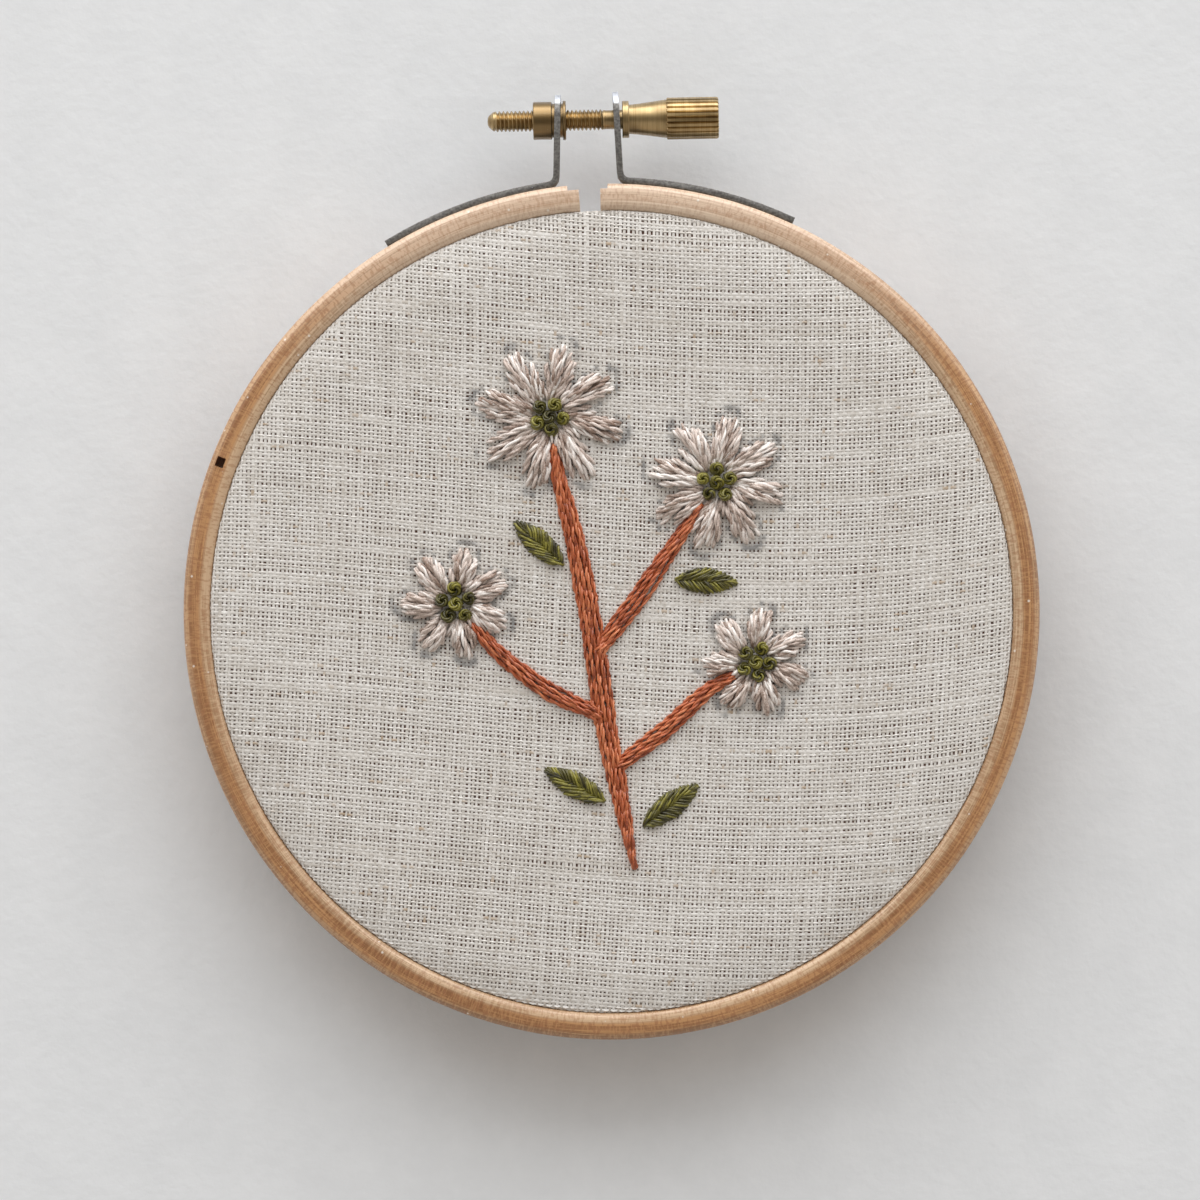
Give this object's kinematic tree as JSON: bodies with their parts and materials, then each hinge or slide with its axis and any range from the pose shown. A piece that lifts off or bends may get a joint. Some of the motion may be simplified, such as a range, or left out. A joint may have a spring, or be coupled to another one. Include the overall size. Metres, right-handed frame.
{
  "type": "hoop embroidery art in a wooden embroidery hoop",
  "caption": "Split wooden embroidery hoop with a thumbscrew clamp, holding drum-tight plain-weave cloth stitched with a sprig of daisies; a small wall or shelf decoration.",
  "frame": {"origin": "on the surface that the hoop lies on, under the middle of its outline seen from above", "axes": "+Z out of the cloth's face, +Y towards the thumbscrew, +X to the right as seen from the front"},
  "size_m": [0.11, 0.1219, 0.0098],
  "materials": {
    "beech": "bare sanded wood",
    "linen": "plain weave, unbleached",
    "floss_pale": "stranded cotton",
    "floss_olive": "stranded cotton",
    "floss_rust": "stranded cotton",
    "steel": "blackened, bare at the cut ends",
    "brass": "turned, a little worn"
  },
  "bodies": {
    "hoop": {"outer_hoop": "beech", "inner_hoop": "beech", "cloth": "linen", "bracket_left": "steel", "bracket_right": "steel", "barrel_nut": "brass", "stems": "floss_rust", "daisy_top_petals": "floss_pale", "daisy_right_petals": "floss_pale", "daisy_left_petals": "floss_pale", "daisy_low_petals": "floss_pale", "daisy_top_knots": "floss_olive", "daisy_right_knots": "floss_olive", "daisy_left_knots": "floss_olive", "daisy_low_knots": "floss_olive", "leaf_low_left": "floss_olive", "leaf_low_right": "floss_olive", "leaf_mid_left": "floss_olive", "leaf_mid_right": "floss_olive"},
    "screw": {"thumb_screw": "brass"}
  },
  "joints": [
    {"name": "screw_turn", "type": "hinge", "parent": "hoop", "child": "screw", "pos_m": [0, 0.05741, 0.004], "axis": [0.9998, 0.0178, 0], "continuous": true}
  ]
}
